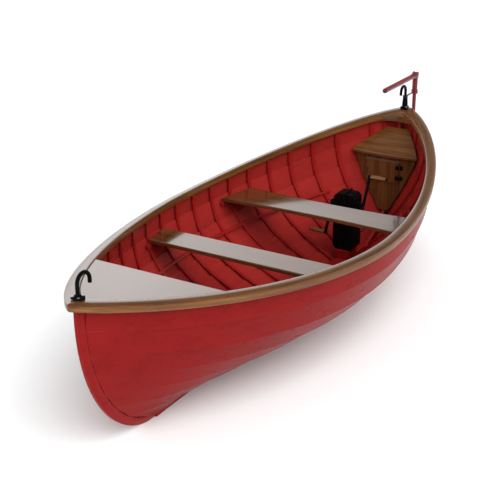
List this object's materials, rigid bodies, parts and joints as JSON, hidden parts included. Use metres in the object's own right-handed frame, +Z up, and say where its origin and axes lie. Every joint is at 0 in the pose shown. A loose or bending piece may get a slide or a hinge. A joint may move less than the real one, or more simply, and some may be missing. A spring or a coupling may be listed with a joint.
{
  "type": "lifeboat",
  "caption": "Double-ended clinker-built wooden boat with a hand-cranked screw, a rudder with tiller, thwarts, a stern locker and lifting hooks.",
  "frame": {"origin": "bottom of the keel at midship, on the centre plane", "axes": "+X towards the bow, +Y to port, +Z up"},
  "size_m": [5.3, 1.9588, 1.489],
  "materials": {
    "hull_paint": "gloss red paint on planking",
    "inner_paint": "gloss red paint",
    "varnished_wood": "gloss varnish",
    "black_iron": "black gloss paint",
    "red_steel": "red gloss paint",
    "bronze": "satin bronze",
    "bare_steel": "machined"
  },
  "bodies": {
    "hull": {"keel": "hull_paint", "stem": "hull_paint", "sternpost": "hull_paint", "skeg": "hull_paint", "heel_shoe": "red_steel", "keelson": "inner_paint", "strake_1_port": "hull_paint", "strake_1_starboard": "hull_paint", "strake_2_port": "hull_paint", "strake_2_starboard": "hull_paint", "strake_3_port": "hull_paint", "strake_3_starboard": "hull_paint", "strake_4_port": "hull_paint", "strake_4_starboard": "hull_paint", "strake_5_port": "hull_paint", "strake_5_starboard": "hull_paint", "strake_6_port": "hull_paint", "strake_6_starboard": "hull_paint", "strake_7_port": "hull_paint", "strake_7_starboard": "hull_paint", "ribs": "inner_paint", "thwart_risers": "inner_paint", "bilge_stringers": "inner_paint", "rub_rail_port": "varnished_wood", "rub_rail_starboard": "varnished_wood", "gunwale_cap_port": "varnished_wood", "gunwale_cap_starboard": "varnished_wood", "inwale_port": "varnished_wood", "inwale_starboard": "varnished_wood", "foredeck": "varnished_wood", "deck_beam": "inner_paint", "forward_thwart": "varnished_wood", "aft_thwart": "varnished_wood", "locker_lid": "varnished_wood", "stern_bulkhead": "varnished_wood", "stern_breasthook": "varnished_wood", "bow_hook": "black_iron", "stern_hook": "black_iron", "hook_bolts": "bare_steel", "gear_case_port": "black_iron", "gear_case_starboard": "black_iron", "gear_bearer": "inner_paint", "stern_tube": "bronze", "stock_bracket": "red_steel"},
    "door": {"locker_door": "varnished_wood", "door_handle": "bare_steel"},
    "crank": {"crank_shaft": "bare_steel", "crank_gear": "bronze", "crank_arm_port": "black_iron", "crank_arm_starboard": "black_iron"},
    "port_grip": {"grip_port": "varnished_wood"},
    "starboard_grip": {"grip_starboard": "varnished_wood"},
    "upright": {"upright_shaft": "bare_steel", "upright_gears": "bronze"},
    "screw": {"propeller_shaft": "bare_steel", "propeller": "bronze"},
    "rudder": {"rudder_stock": "red_steel", "rudder_blade": "hull_paint", "tiller_pin": "bare_steel"},
    "steering_arm": {"tiller": "red_steel"}
  },
  "joints": [
    {"name": "rudder_turn", "type": "hinge", "parent": "hull", "child": "rudder", "pos_m": [-2.645, 0, 0.03], "axis": [0, 0, 1], "range_deg": [-35, 35]},
    {"name": "tiller_lift", "type": "hinge", "parent": "rudder", "child": "steering_arm", "pos_m": [-2.645, 0, 1.456], "axis": [0, -1, 0], "range_deg": [0, 75]},
    {"name": "crank_turn", "type": "hinge", "parent": "hull", "child": "crank", "pos_m": [-1.26, 0, 0.6], "axis": [0, 1, 0], "continuous": true},
    {"name": "port_grip_turn", "type": "hinge", "parent": "crank", "child": "port_grip", "pos_m": [-1.38047, 0.224, 0.84163], "axis": [0, 1, 0], "continuous": true},
    {"name": "starboard_grip_turn", "type": "hinge", "parent": "crank", "child": "starboard_grip", "pos_m": [-1.13953, -0.224, 0.35837], "axis": [0, 1, 0], "continuous": true},
    {"name": "upright_turn", "type": "hinge", "parent": "hull", "child": "upright", "pos_m": [-1.26, 0, 0.4], "axis": [0, 0, 1], "continuous": true},
    {"name": "screw_turn", "type": "hinge", "parent": "hull", "child": "screw", "pos_m": [-2.37, 0, 0.25], "axis": [1, 0, 0], "continuous": true},
    {"name": "door_swing", "type": "hinge", "parent": "hull", "child": "door", "pos_m": [-2.0135, 0.145, 0.69], "axis": [0, 0, 1], "range_deg": [0, 100]}
  ],
  "couplings": [
    {"joint": "upright_turn", "follows": "crank_turn", "ratio": 2},
    {"joint": "screw_turn", "follows": "crank_turn", "ratio": 4}
  ]
}
